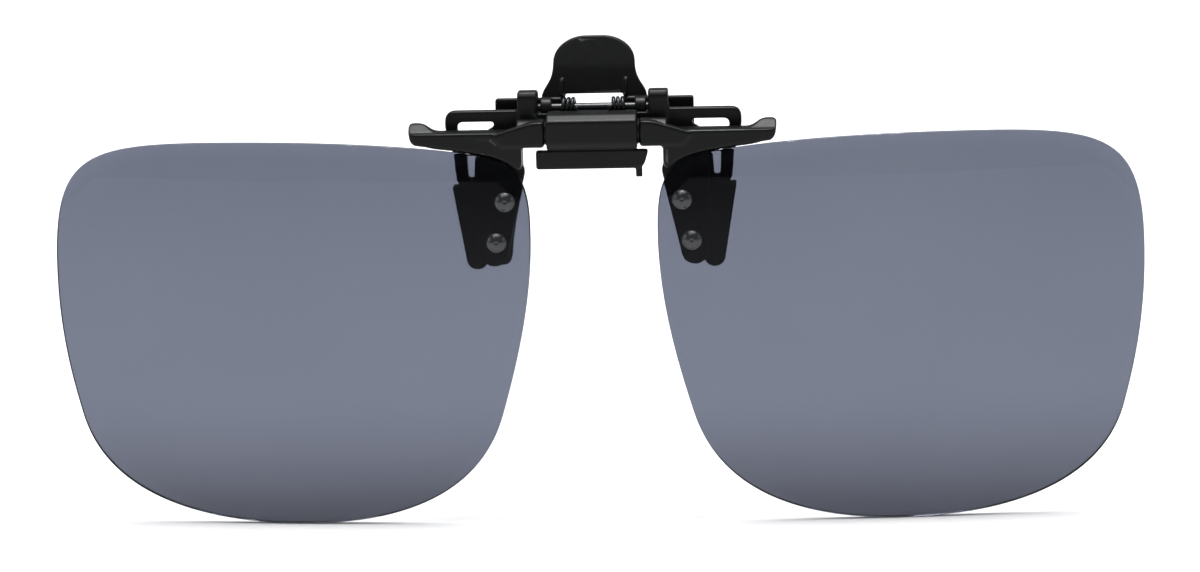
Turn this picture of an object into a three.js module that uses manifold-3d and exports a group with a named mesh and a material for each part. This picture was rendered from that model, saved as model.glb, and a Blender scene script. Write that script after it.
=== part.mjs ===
// Flip-up clip-on sunglasses: a sprung two-jaw clamp that carries two tinted lenses on a flip hinge.
// Units are millimetres, +Z is up, -Y is the front, +X is to the right as seen from the front.
// The origin is midway between the jaws, in the plane where the clamp grips the spectacle lenses.
import * as THREE from 'three';
import { mergeVertices } from 'three/addons/utils/BufferGeometryUtils.js';
import Module from 'manifold-3d';

const wasm = await Module();
wasm.setup();

// ---- driving dimensions -------------------------------------------------------------------
const CLEARANCE = 0.3; // between neighbouring pieces

// heights, measured from the flip axis, which lies this far above the middle of the grip pads
const FLIP_AXIS_Z = 12;
const FLIP_AXIS_Y = -4.5;

// sun lenses
const LENS_WIDTH = 60.6;
const LENS_HEIGHT = 49.2;
const LENS_THICKNESS = 1.0;
const LENS_BASE_RADIUS = 240;
const LENS_GAP = 15.9; // across the nose
const LENS_TOP_Z = -0.6;
const LENS_NOSE_Y = -6.43; // front surface at the nose edge
const LENS_WRAP = THREE.MathUtils.degToRad(3.5);
const LENS_SPACING = LENS_WIDTH + LENS_GAP; // centre to centre
const LENS_CENTRE_Z = LENS_TOP_Z - LENS_HEIGHT / 2;

// lens rivets
const RIVET_PLACES = [[11.0, -8.4], [12.15, -13.45]];
const RIVET_SHANK_R = 0.6;
const RIVET_HEAD_R = 1.25;
const RIVET_HEAD_HEIGHT = 0.6;

// lens carriers: a curved plate behind the lens, a wing above it and an arm to the hinge
const PLATE_THICKNESS = 1.2;
const PLATE_HALF_WIDTH = 1.7;
const PLATE_END_Z = -15.0;
const PLATE_OUTER_X = 14.4;
const WING_HEEL_X = 8.75;
const WING_TIP_X = 22.9;
const WING_FRONT_Y = -6.0;
const WING_DEPTH = 2.7;
const WING_TOP_Z = 0.18;
const WING_BACK_RISE = 0.15; // the top slopes up this much from front to back
const WING_TIP_RISE = 1.15;
const WING_HEIGHT = 1.93;
const WING_END_ROUND = 1.5;
const ARM_TOP_Z = 1.5;
const ARM_BOTTOM_Z = -1.7;
const ARM_FACE_Y = -6.15;
const ARM_OUTER_X = 9.3;
const KNUCKLE_R = 1.65;
const SHAFT_R = 0.65;
const SHAFT_CAM = 1.5; // side of the square middle stretch
const SHAFT_CAM_LENGTH = 6;

// hinge cover
const BARREL_HALF_LENGTH = 5.6;
const ARM_INNER_X = BARREL_HALF_LENGTH + CLEARANCE;
const BARREL_FRONT_Y = -6.7;
const BARREL_TOP_Z = 2.35;
const BARREL_BOTTOM_Z = -1.95;
const COVER_WALL = 0.75;
const COVER_BEVEL = 0.12;
const SKIRT_HALF_LENGTH = 7.0;
const SKIRT_FRONT_Y = -5.6;
const SKIRT_TOP_Z = -2.15;
const SKIRT_BOTTOM_Z = -4.5;
const SKIRT_THICKNESS = 1.0;
const GATE_PEG_X = 5.75;
const GATE_PEG_WIDTH = 0.8;
const GATE_PEG_LENGTH = 1.1;
const LEAF_THICKNESS = 0.3;

// clip body, which is the front jaw
const SADDLE_FRONT_Y = -2.3;
const SADDLE_TOP_Z = 2.0;
const SADDLE_BOTTOM_Z = -0.6;
const POST_INNER_X = 6.9;
const POST_WIDTH = 2.5;
const POST_TOP_Z = 4.7;
const POST_CHAMFER = 0.6;
const ARM_THICKNESS = 1.3;
const ARM_FRONT_Y = -2.1;
const LOOP_TOP_Z = 2.45;
const LOOP_OUTER_X = 18.5;

// grip fingers and their rubber sleeves
const SLEEVE_TOP_Z = -7.0;
const SLEEVE_BOTTOM_Z = -17.6;
const SLEEVE_THICKNESS = 2.4;
const SLEEVE_WALL = 0.4;
const SLEEVE_BEVEL = 0.2;
const JAW_GAP = 0.3;
const FRONT_SLEEVE = { inner: 13.1, outer: 17.8, tipInner: 13.5, tipOuter: 16.3 };
const REAR_SLEEVE = { inner: 9.9, outer: 12.9, tipInner: 10.8, tipOuter: 12.8 };

// rear jaw with its thumb tab, turning on the clamp pin
const PIN_Y = 0.2;
const PIN_Z = 2.3;
const PIN_R = 0.6;
const POST_ROUND_R = 1.7;
const REAR_WALL_Y = 2.25;
const REAR_WALL_THICKNESS = 1.2;
const SHOULDER_X = 12.5;
const SHOULDER_TOP_Z = 3.2;
const TAB_TOP_Z = 10.8;
const TAB_HALF_WIDTH = 5.15;
const TAB_FLARE_HALF_WIDTH = POST_INNER_X - CLEARANCE;
const TAB_THICKNESS = 1.2;
const TAB_FOLD_Z = 6.6;
const TAB_TOP_Y = 5.0;
const WINDOW_HALF_WIDTH = 3.6;
const WINDOW_TOP_Z = 3.7;
const LUG_WIDTH = 1.4;
const LUG_R = 1.35;

// clamp springs
const SPRING_WIRE_R = 0.25;
const SPRING_COIL_R = 1.15;
const SPRING_TURNS = 3.5;
const SPRING_PITCH = 0.56;
const SPRING_INNER_X = 2.1;

// ---- solids -------------------------------------------------------------------------------
function solid(geometry) {
  const plain = geometry.index ? geometry.clone() : geometry;
  plain.deleteAttribute('normal');
  plain.deleteAttribute('uv');
  const merged = mergeVertices(plain, 1e-5);
  return new wasm.Manifold(new wasm.Mesh({
    numProp: 3,
    vertProperties: new Float32Array(merged.attributes.position.array),
    triVerts: new Uint32Array(merged.index.array),
  }));
}

function geometryOf(manifold) {
  const mesh = manifold.getMesh();
  const geometry = new THREE.BufferGeometry();
  geometry.setAttribute('position', new THREE.BufferAttribute(mesh.vertProperties, 3));
  geometry.setIndex(new THREE.BufferAttribute(mesh.triVerts, 1));
  return geometry;
}

// the mirror image of a right-hand piece, for the left side
const mirroredX = (manifold) => manifold.mirror([1, 0, 0]);

// a closed outline through points [a, b]; a third number rounds that corner, by at most
// nearly half of the shorter side that meets there
function outline(points) {
  const path = new THREE.Shape();
  points.forEach(([a, b, rounding = 0], i) => {
    const corner = new THREE.Vector2(a, b);
    const towardsBefore = new THREE.Vector2(...points.at(i - 1)).sub(corner);
    const towardsAfter = new THREE.Vector2(...points[(i + 1) % points.length]).sub(corner);
    const reach = Math.min(rounding, 0.48 * towardsBefore.length(), 0.48 * towardsAfter.length());
    const start = corner.clone().add(towardsBefore.setLength(reach));
    const end = corner.clone().add(towardsAfter.setLength(reach));
    if (i === 0) path.moveTo(start.x, start.y);
    else path.lineTo(start.x, start.y);
    if (reach > 0) path.quadraticCurveTo(a, b, end.x, end.y);
  });
  path.closePath();
  return path;
}

// extrudes an outline drawn in X and Z, as seen from the front, from yFront back to yBack;
// every rounding in a bevelled outline is over 1.5 times the bevel
function frontPrism(shape, yFront, yBack, bevel = 0, curveSegments = 5) {
  const geometry = new THREE.ExtrudeGeometry(shape, {
    depth: yBack - yFront - 2 * bevel,
    curveSegments,
    bevelEnabled: bevel > 0,
    bevelThickness: bevel,
    bevelSize: bevel,
    bevelOffset: -bevel,
    bevelSegments: 1,
  });
  geometry.rotateX(Math.PI / 2);
  geometry.translate(0, yBack - bevel, 0);
  return solid(geometry);
}

// extrudes an outline drawn in Y and Z, as seen from the right, from xLow to xHigh
function sidePrism(shape, xLow, xHigh, bevel = 0) {
  const geometry = new THREE.ExtrudeGeometry(shape, {
    depth: xHigh - xLow - 2 * bevel,
    curveSegments: 6,
    bevelEnabled: bevel > 0,
    bevelThickness: bevel,
    bevelSize: bevel,
    bevelOffset: -bevel,
    bevelSegments: 1,
  });
  geometry.applyMatrix4(new THREE.Matrix4().makeBasis(
    new THREE.Vector3(0, 1, 0),
    new THREE.Vector3(0, 0, 1),
    new THREE.Vector3(1, 0, 0),
  ));
  geometry.translate(xLow + bevel, 0, 0);
  return solid(geometry);
}

// extrudes an outline drawn in X and Y, as seen from above, from zLow to zHigh
function planPrism(shape, zLow, zHigh) {
  const geometry = new THREE.ExtrudeGeometry(shape, {
    depth: zHigh - zLow,
    curveSegments: 6,
    bevelEnabled: false,
  });
  geometry.translate(0, 0, zLow);
  return solid(geometry);
}

// a round bar along X
function crossRod(xLow, xHigh, radius, y, z, sides = 24) {
  const geometry = new THREE.CylinderGeometry(radius, radius, xHigh - xLow, sides);
  geometry.rotateZ(Math.PI / 2);
  geometry.translate((xLow + xHigh) / 2, y, z);
  return solid(geometry);
}

function block(xLow, xHigh, yLow, yHigh, zLow, zHigh) {
  const geometry = new THREE.BoxGeometry(xHigh - xLow, yHigh - yLow, zHigh - zLow);
  geometry.translate((xLow + xHigh) / 2, (yLow + yHigh) / 2, (zLow + zHigh) / 2);
  return solid(geometry);
}

// a stadium around the line from one point to another
function stadium([x0, z0], [x1, z1], radius) {
  const angle = Math.atan2(z1 - z0, x1 - x0);
  const path = new THREE.Shape();
  path.absarc(x1, z1, radius, angle - Math.PI / 2, angle + Math.PI / 2, false);
  path.absarc(x0, z0, radius, angle + Math.PI / 2, angle + Math.PI * 1.5, false);
  path.closePath();
  return path;
}

// ---- sun lens, drawn for the right side with its centre at the origin, nose towards -X ------
// the curves are drawn for a 60 by 48 lens and scaled to size; grow widens it all round, for
// the clearance in the carrier's wing
function lensOutline(grow = 0) {
  const sx = (LENS_WIDTH / 2 + grow) / 30;
  const sz = (LENS_HEIGHT / 2 + grow) / 24;
  const path = new THREE.Shape();
  const curveTo = (...p) => path.bezierCurveTo(...p.map((value, i) => value * (i % 2 ? sz : sx)));
  path.moveTo(6 * sx, 24 * sz);
  curveTo(26, 24, 30, 23, 30, 7.5); // temple top corner
  curveTo(30, 0.5, 29, -5, 27.5, -10.8);
  curveTo(24.9, -19.9, 14.5, -24, 0, -24); // temple bottom corner
  curveTo(-13, -24, -22.9, -20.2, -26, -10);
  curveTo(-27.6, -4.7, -30, 3.5, -30, 12); // nose side
  curveTo(-30, 17.2, -29.6, 20.7, -24.8, 21.8); // tight corner at the bridge
  curveTo(-19, 23.1, -8, 24, 6, 24);
  return path;
}

// how far the lens front falls back from its crown at a distance from the lens centre
const lensFall = (distance) => LENS_BASE_RADIUS - Math.sqrt(LENS_BASE_RADIUS ** 2 - distance ** 2);

// the crown's place, which sets the nose edge at LENS_NOSE_Y for any lens width
const LENS_CROWN_Y = LENS_NOSE_Y
  + (LENS_WIDTH / 2) * Math.sin(LENS_WRAP)
  - lensFall(LENS_WIDTH / 2) * Math.cos(LENS_WRAP);

// a spherical shell between two depths behind the lens front, with its crown towards -Y
function lensShell(depthFront, depthBack) {
  const rings = 7;
  const reach = Math.asin((Math.hypot(LENS_WIDTH, LENS_HEIGHT) / 2 + 9) / LENS_BASE_RADIUS);
  const arc = (depth, share) => {
    const radius = LENS_BASE_RADIUS - depth;
    const angle = reach * share;
    return new THREE.Vector2(radius * Math.sin(angle), LENS_BASE_RADIUS - radius * Math.cos(angle));
  };
  const profile = [];
  for (let i = 0; i <= rings; i += 1) profile.push(arc(depthFront, i / rings));
  for (let i = rings; i >= 0; i -= 1) profile.push(arc(depthBack, i / rings));
  profile[0].x = 0;
  profile.at(-1).x = 0;
  return solid(new THREE.LatheGeometry(profile, 56));
}

// a lens-frame solid carried to its place on the right side
function atLens(manifold) {
  const turned = manifold.rotate([0, 0, THREE.MathUtils.radToDeg(LENS_WRAP)]);
  return turned.translate([LENS_SPACING / 2, LENS_CROWN_Y, LENS_CENTRE_Z]);
}

// the lens-frame place and depth of a point given by its X and Z on the assembled part
function onLens(x, z) {
  const v = z - LENS_CENTRE_Z;
  let u = x - LENS_SPACING / 2;
  let depth = 0;
  for (let pass = 0; pass < 4; pass += 1) {
    depth = lensFall(Math.hypot(u, v));
    u = (x - LENS_SPACING / 2 + depth * Math.sin(LENS_WRAP)) / Math.cos(LENS_WRAP);
  }
  return { u, v, depth };
}

// a lathe-turned solid standing along the lens normal at an X and Z place, profile depth backwards
function onLensNormal(profile, x, z, sides = 20) {
  const { u, v, depth } = onLens(x, z);
  const turned = new THREE.LatheGeometry(profile.map(([r, d]) => new THREE.Vector2(r, d)), sides);
  const inward = new THREE.Vector3(-u, LENS_BASE_RADIUS - depth, -v).normalize();
  turned.applyQuaternion(new THREE.Quaternion().setFromUnitVectors(new THREE.Vector3(0, 1, 0), inward));
  turned.translate(u, depth, v);
  return atLens(solid(turned));
}

const stackDepth = LENS_THICKNESS + CLEARANCE + PLATE_THICKNESS;

function rivetHole([x, z]) {
  const r = RIVET_SHANK_R + CLEARANCE;
  return onLensNormal([[0, -2], [r, -2], [r, stackDepth + 2], [0, stackDepth + 2]], x, z);
}

function sunLens() {
  const blank = frontPrism(lensOutline(), -5, 15, 0, 10).intersect(lensShell(0, LENS_THICKNESS));
  return RIVET_PLACES.reduce((lens, place) => lens.subtract(rivetHole(place)), atLens(blank));
}

// domed head in front of the lens, shank through lens and plate, flat closing head behind
function lensRivet([x, z]) {
  const seat = -CLEARANCE;
  const back = stackDepth + CLEARANCE;
  const dome = [];
  for (let i = 0; i <= 4; i += 1) {
    const angle = (i / 4) * (Math.PI / 2);
    dome.push([RIVET_HEAD_R * Math.sin(angle), seat - RIVET_HEAD_HEIGHT * Math.cos(angle)]);
  }
  dome[0][0] = 0;
  const profile = [
    ...dome,
    [RIVET_SHANK_R, seat],
    [RIVET_SHANK_R, back],
    [RIVET_HEAD_R * 0.8, back],
    [RIVET_HEAD_R * 0.8, back + 0.35],
    [0, back + 0.35],
  ];
  return onLensNormal(profile, x, z);
}

// ---- lens carrier, right side --------------------------------------------------------------
function lensCarrier() {
  const [upper, lower] = RIVET_PLACES;
  const slant = (lower[0] - upper[0]) / (lower[1] - upper[1]);
  const alongPlate = (z) => [upper[0] + slant * (z - upper[1]), z];
  const spine = stadium(alongPlate(-5), alongPlate(PLATE_END_Z), PLATE_HALF_WIDTH);
  const strip = frontPrism(spine, -12, 4, 0, 10);
  const flare = frontPrism(outline([
    [8.7, WING_TOP_Z - 0.2],
    [8.7, -5.2, 2],
    [upper[0] - PLATE_HALF_WIDTH, -8.2],
    [lower[0] - PLATE_HALF_WIDTH + 1, lower[1]],
    [PLATE_OUTER_X - 0.3, lower[1], 1.5],
    [PLATE_OUTER_X, -7.0, 2],
    [PLATE_OUTER_X, WING_TOP_Z - 0.2],
  ]), -12, 4);
  const plateFront = LENS_THICKNESS + CLEARANCE;
  const plate = atLens(lensShell(plateFront, plateFront + PLATE_THICKNESS)).intersect(strip.add(flare));

  const wingBack = WING_FRONT_Y + WING_DEPTH;
  const wingBottom = WING_TOP_Z - WING_HEIGHT;
  const tipTop = WING_TOP_Z + WING_TIP_RISE;
  const wingFace = frontPrism(outline([
    [ARM_INNER_X + 1.6, WING_TOP_Z + WING_BACK_RISE, 0.5],
    [ARM_INNER_X + 1.6, ARM_BOTTOM_Z, 0.5],
    [WING_HEEL_X, ARM_BOTTOM_Z, 0.5],
    [WING_HEEL_X, ARM_BOTTOM_Z - 3.05, 1.1],
    [13, wingBottom - 1.55, 1],
    [16.5, wingBottom - 0.55, 1],
    [WING_TIP_X - 2.6, wingBottom - 0.1, 1.2],
    [WING_TIP_X - 0.3, wingBottom + 0.7, 0.9],
    [WING_TIP_X, tipTop, 0.7],
    [WING_TIP_X - 1.9, tipTop, 0.7],
    [WING_TIP_X - 3.2, WING_TOP_Z + WING_BACK_RISE, 1.2],
  ]), WING_FRONT_Y, wingBack, 0.25);
  // seen from the side the top slopes up to the back, seen from above the outer end is round
  const slope = sidePrism(outline([
    [WING_FRONT_Y, wingBottom - 3],
    [WING_FRONT_Y, WING_TOP_Z],
    [WING_FRONT_Y + 0.5, WING_TOP_Z + 0.08, 0.4],
    [wingBack - 0.7, tipTop, 0.5],
    [wingBack, tipTop],
    [wingBack, wingBottom - 3],
  ]), 0, WING_TIP_X + 1);
  const plan = planPrism(outline([
    [0, WING_FRONT_Y],
    [WING_TIP_X, WING_FRONT_Y, WING_END_ROUND],
    [WING_TIP_X, wingBack, 0.4],
    [0, wingBack],
  ]), wingBottom - 4, tipTop + 1);
  const wing = wingFace.intersect(slope).intersect(plan);

  // the arm's face falls in a curve from the knuckle to the wing; its back part stays outside
  // the skirt of the hinge cover
  const armFace = frontPrism(outline([
    [ARM_INNER_X, ARM_TOP_Z, 0.4],
    [ARM_INNER_X, ARM_BOTTOM_Z, 0.4],
    [ARM_OUTER_X + 2, ARM_BOTTOM_Z, 0.4],
    [ARM_OUTER_X + 3.4, WING_TOP_Z - 0.3, 0.6],
    [ARM_OUTER_X + 1.2, WING_TOP_Z + 0.4, 1.2],
    [ARM_INNER_X + 1.5, ARM_TOP_Z, 1.2],
  ]), ARM_FACE_Y, FLIP_AXIS_Y, 0.2);
  const knuckle = crossRod(ARM_INNER_X, ARM_OUTER_X, KNUCKLE_R, FLIP_AXIS_Y, 0, 28);
  const armBack = sidePrism(outline([
    [ARM_FACE_Y + 0.2, 0.9, 0.4],
    [ARM_FACE_Y + 0.2, ARM_BOTTOM_Z, 0.4],
    [wingBack + 0.25, ARM_BOTTOM_Z, 0.4],
    [wingBack + 0.25, 0.9, 0.7],
  ]), SKIRT_HALF_LENGTH + CLEARANCE, ARM_OUTER_X, 0.2);

  // room for the lens: its outline grown by the clearance, from far in front to just behind it
  const room = atLens(frontPrism(lensOutline(CLEARANCE), -12, 20, 0, 10)
    .intersect(lensShell(-6, LENS_THICKNESS + CLEARANCE)));
  const shaftEndX = ARM_OUTER_X - 0.6;
  const bore = crossRod(ARM_INNER_X - 1, shaftEndX, SHAFT_R + CLEARANCE, FLIP_AXIS_Y, 0, 20);
  const body = wing.add(armFace).add(armBack).add(knuckle);
  const whole = body.subtract(room).add(plate).subtract(bore);
  return RIVET_PLACES.reduce((carrier, place) => carrier.subtract(rivetHole(place)), whole);
}

// ---- flip shaft: round ends in the carriers, square middle under the detent leaf ------------
function flipShaft() {
  const endX = ARM_OUTER_X - 0.6 - CLEARANCE;
  const half = SHAFT_CAM / 2;
  return crossRod(-endX, endX, SHAFT_R, FLIP_AXIS_Y, 0, 16).add(
    block(-SHAFT_CAM_LENGTH / 2, SHAFT_CAM_LENGTH / 2, FLIP_AXIS_Y - half, FLIP_AXIS_Y + half, -half, half),
  );
}

// ---- hinge cover: chamfered barrel over the shaft with a skirt below it --------------------
const coverBackY = SADDLE_FRONT_Y - CLEARANCE;

function hingeCover() {
  const barrel = sidePrism(outline([
    [coverBackY, BARREL_TOP_Z],
    [BARREL_FRONT_Y + 1.2, BARREL_TOP_Z, 0.3],
    [BARREL_FRONT_Y, BARREL_TOP_Z - 0.75, 0.3],
    [BARREL_FRONT_Y, BARREL_BOTTOM_Z + 0.7, 0.3],
    [BARREL_FRONT_Y + 0.5, BARREL_BOTTOM_Z, 0.3],
    [coverBackY, BARREL_BOTTOM_Z],
  ]), -BARREL_HALF_LENGTH, BARREL_HALF_LENGTH, COVER_BEVEL);
  const skirt = frontPrism(outline([
    [-SKIRT_HALF_LENGTH, SKIRT_TOP_Z, 0.3],
    [-SKIRT_HALF_LENGTH, SKIRT_BOTTOM_Z, 0.35],
    [SKIRT_HALF_LENGTH - 0.7, SKIRT_BOTTOM_Z, 0.9],
    [SKIRT_HALF_LENGTH, SKIRT_TOP_Z, 0.5],
  ]), SKIRT_FRONT_Y, SKIRT_FRONT_Y + SKIRT_THICKNESS, COVER_BEVEL);
  const neckHalf = BARREL_HALF_LENGTH - CLEARANCE;
  const neck = block(
    -neckHalf, neckHalf,
    SKIRT_FRONT_Y + 0.1, FLIP_AXIS_Y + 0.9,
    SKIRT_TOP_Z - 0.45, SKIRT_TOP_Z + 0.55,
  );
  const gatePeg = block(
    GATE_PEG_X - GATE_PEG_WIDTH / 2, GATE_PEG_X + GATE_PEG_WIDTH / 2,
    SKIRT_FRONT_Y + 0.15, SKIRT_FRONT_Y + 0.85,
    SKIRT_BOTTOM_Z - GATE_PEG_LENGTH, SKIRT_BOTTOM_Z + 0.4,
  );
  const bore = crossRod(-SKIRT_HALF_LENGTH, SKIRT_HALF_LENGTH, SHAFT_R + CLEARANCE, FLIP_AXIS_Y, 0, 20);
  const pocketHalf = SHAFT_CAM_LENGTH / 2 + CLEARANCE;
  const pocket = block(
    -pocketHalf, pocketHalf,
    FLIP_AXIS_Y - SHAFT_CAM * 0.71 - CLEARANCE, 0,
    BARREL_BOTTOM_Z + COVER_WALL, BARREL_TOP_Z - COVER_WALL,
  );
  return barrel.add(skirt).add(neck).add(gatePeg).subtract(bore).subtract(pocket);
}

// ---- detent leaf: a shallow bowed strip in the pocket above the square of the shaft --------
function detentLeaf() {
  const length = SHAFT_CAM_LENGTH / 2 - 0.1;
  const top = BARREL_TOP_Z - COVER_WALL - 0.05;
  const bow = 0.12;
  const path = new THREE.Shape();
  path.moveTo(-length, top - LEAF_THICKNESS);
  path.quadraticCurveTo(0, top - LEAF_THICKNESS - 2 * bow, length, top - LEAF_THICKNESS);
  path.lineTo(length, top);
  path.quadraticCurveTo(0, top - 2 * bow, -length, top);
  path.closePath();
  return frontPrism(path, FLIP_AXIS_Y - 0.8, FLIP_AXIS_Y + 0.9, 0, 8);
}

// ---- rubber sleeves and the fingers inside them --------------------------------------------
function fingerOutline({ inner, outer, tipInner, tipOuter }, inset, topZ) {
  const tipR = (tipOuter - tipInner) / 2 - inset;
  return outline([
    [inner + inset, topZ],
    [tipInner + inset, SLEEVE_BOTTOM_Z + inset, tipR],
    [tipOuter - inset, SLEEVE_BOTTOM_Z + inset, tipR],
    [outer - inset, topZ],
  ]);
}

// the near and far Y of something a jaw holds, given as distances from the grip plane;
// side is -1 for the front jaw and +1 for the rear jaw
const sleeveNear = JAW_GAP / 2;
const sleeveFar = sleeveNear + SLEEVE_THICKNESS;
const acrossJaw = (side, near, far) => (side < 0 ? [-far, -near] : [near, far]);

function gripSleeve(shape, side) {
  const skin = frontPrism(
    fingerOutline(shape, 0, SLEEVE_TOP_Z),
    ...acrossJaw(side, sleeveNear, sleeveFar), SLEEVE_BEVEL, 8,
  );
  const hollow = frontPrism(
    fingerOutline(shape, SLEEVE_WALL, SLEEVE_TOP_Z + 1),
    ...acrossJaw(side, sleeveNear + SLEEVE_WALL, sleeveFar - SLEEVE_WALL), 0, 8,
  );
  return skin.subtract(hollow);
}

const fingerInset = SLEEVE_WALL + CLEARANCE;
const fingerNear = sleeveNear + fingerInset;
const fingerFar = sleeveFar - fingerInset;

function jawFinger(shape, side) {
  const blank = fingerOutline(shape, fingerInset, SLEEVE_TOP_Z + 1);
  return frontPrism(blank, ...acrossJaw(side, fingerNear, fingerFar), 0, 8);
}

// ---- clip body -----------------------------------------------------------------------------
function clipBodyHalf() {
  const postOuterX = POST_INNER_X + POST_WIDTH;
  const saddle = block(
    0, POST_INNER_X + 0.5,
    SADDLE_FRONT_Y, PIN_Y - LUG_R - CLEARANCE,
    SADDLE_BOTTOM_Z, SADDLE_TOP_Z,
  );
  const post = sidePrism(outline([
    [SADDLE_FRONT_Y, SADDLE_BOTTOM_Z, 0.4],
    [PIN_Y + POST_ROUND_R * 0.35, SADDLE_BOTTOM_Z, 0.4],
    [PIN_Y + POST_ROUND_R, PIN_Z - POST_ROUND_R, 1.2],
    [PIN_Y + POST_ROUND_R, PIN_Z + POST_ROUND_R * 0.35, 0.8],
    [PIN_Y + 0.2, POST_TOP_Z, 0.6],
    [SADDLE_FRONT_Y + POST_CHAMFER * 0.8, POST_TOP_Z, 0.25],
    [SADDLE_FRONT_Y, POST_TOP_Z - POST_CHAMFER, 0.25],
  ]), POST_INNER_X, postOuterX, 0.15);

  const strandX = LOOP_OUTER_X;
  const loopPlate = outline([
    [postOuterX - 0.5, LOOP_TOP_Z],
    [postOuterX - 0.5, SADDLE_BOTTOM_Z],
    [FRONT_SLEEVE.inner, -3.2, 1.2],
    [FRONT_SLEEVE.inner + 0.6, SLEEVE_TOP_Z + CLEARANCE, 0.5],
    [strandX - 1.3, SLEEVE_TOP_Z + CLEARANCE, 0.5],
    [strandX - 0.9, -2.8, 2.0],
    [strandX, -0.4, 1.2],
    [strandX, LOOP_TOP_Z, 2.6],
  ]);
  const slot = outline([
    [12.4, LOOP_TOP_Z - 1.4, 0.3],
    [strandX - 1.5, LOOP_TOP_Z - 1.4, 1.0],
    [strandX - 1.6, -0.6, 1.0],
    [strandX - 2.5, -2.8, 0.8],
    [strandX - 2.8, -6.4, 0.3],
    [strandX - 3.5, -6.4, 0.3],
    [strandX - 3.6, -2.8, 0.8],
    [13.3, -0.1, 0.8],
    [12.4, 0.4, 0.3],
  ]);
  const loop = frontPrism(loopPlate, ARM_FRONT_Y, ARM_FRONT_Y + ARM_THICKNESS, 0.2)
    .subtract(frontPrism(slot, ARM_FRONT_Y - 1, ARM_FRONT_Y + ARM_THICKNESS + 1));
  const pinHole = crossRod(POST_INNER_X - 1, postOuterX + 1, PIN_R + CLEARANCE, PIN_Y, PIN_Z, 20);
  return saddle.add(post).add(loop).add(jawFinger(FRONT_SLEEVE, -1)).subtract(pinHole);
}

function clipBody() {
  const right = clipBodyHalf();
  return right.add(mirroredX(right));
}

// ---- rear jaw ------------------------------------------------------------------------------
function rearJawHalf() {
  const wallBackY = REAR_WALL_Y + REAR_WALL_THICKNESS;
  const wall = frontPrism(outline([
    [0, -0.8],
    [SHOULDER_X - 2.4, -0.8],
    [SHOULDER_X - 2.4, -2.6],
    [SHOULDER_X, -2.6],
    [SHOULDER_X, SHOULDER_TOP_Z, 0.3],
    [WINDOW_HALF_WIDTH + 0.4, SHOULDER_TOP_Z],
    [WINDOW_HALF_WIDTH, 0.9, 0.3],
    [0, 0.9],
  ]), REAR_WALL_Y, wallBackY);

  const leg = sidePrism(outline([
    [REAR_WALL_Y, -2.0],
    [wallBackY, -2.0],
    [wallBackY, -3.4, 0.8],
    [fingerFar, SLEEVE_TOP_Z + 0.9, 0.3],
    [fingerFar, SLEEVE_TOP_Z + CLEARANCE],
    [fingerNear, SLEEVE_TOP_Z + CLEARANCE],
    [fingerNear, SLEEVE_TOP_Z + 1.3, 0.3],
    [REAR_WALL_Y, -3.0, 0.6],
  ]), SHOULDER_X - 2.4, SHOULDER_X);

  // the tab's bent side profile, cut to the outline it has from the front
  const bend = sidePrism(outline([
    [REAR_WALL_Y, 1.0],
    [wallBackY, 1.0],
    [wallBackY + 0.25, 3.2, 1.5],
    [REAR_WALL_Y + TAB_THICKNESS + 1.0, TAB_FOLD_Z, 0.8],
    [TAB_TOP_Y + TAB_THICKNESS - 0.1, TAB_TOP_Z - 0.3, 0.3],
    [TAB_TOP_Y + 0.2, TAB_TOP_Z, 0.3],
    [REAR_WALL_Y + 0.95, TAB_FOLD_Z + 0.1, 0.8],
    [REAR_WALL_Y + 0.25, 3.2, 1.5],
  ]), 0, TAB_FLARE_HALF_WIDTH + 1);
  const face = new THREE.Shape();
  face.moveTo(0, WINDOW_TOP_Z);
  face.lineTo(WINDOW_HALF_WIDTH, WINDOW_TOP_Z);
  face.lineTo(WINDOW_HALF_WIDTH + 0.4, 1.0);
  face.lineTo(TAB_FLARE_HALF_WIDTH, 1.0);
  face.lineTo(TAB_FLARE_HALF_WIDTH, 3.6);
  face.bezierCurveTo(TAB_FLARE_HALF_WIDTH - 0.3, 4.7, TAB_HALF_WIDTH, 5.2, TAB_HALF_WIDTH, TAB_FOLD_Z + 0.9);
  face.bezierCurveTo(TAB_HALF_WIDTH, TAB_TOP_Z - 1.4, TAB_HALF_WIDTH - 2.0, TAB_TOP_Z, 0, TAB_TOP_Z);
  face.closePath();
  const tab = bend.intersect(frontPrism(face, -5, 12, 0, 10));

  const lugInner = POST_INNER_X - CLEARANCE - LUG_WIDTH;
  const lugOuter = POST_INNER_X - CLEARANCE;
  const lug = crossRod(lugInner, lugOuter, LUG_R, PIN_Y, PIN_Z, 24)
    .add(block(lugInner, lugOuter, PIN_Y, REAR_WALL_Y + 0.6, PIN_Z - LUG_R, PIN_Z + 0.9));
  const rib = block(
    WINDOW_HALF_WIDTH + 0.2, WINDOW_HALF_WIDTH + 0.6,
    REAR_WALL_Y - 0.15, REAR_WALL_Y + 1,
    WINDOW_TOP_Z - 0.1, TAB_FOLD_Z - 1,
  );
  const pinHole = crossRod(0, TAB_FLARE_HALF_WIDTH + 1, PIN_R + CLEARANCE, PIN_Y, PIN_Z, 20);
  const whole = wall.add(leg).add(tab).add(lug).add(rib).add(jawFinger(REAR_SLEEVE, 1));
  return whole.subtract(pinHole);
}

function rearJaw() {
  const right = rearJawHalf();
  return right.add(mirroredX(right));
}

// ---- clamp pin and its two torsion springs --------------------------------------------------
function clampPin() {
  const end = POST_INNER_X + POST_WIDTH + 0.1;
  return crossRod(-end, end, PIN_R, PIN_Y, PIN_Z, 16);
}

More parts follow.
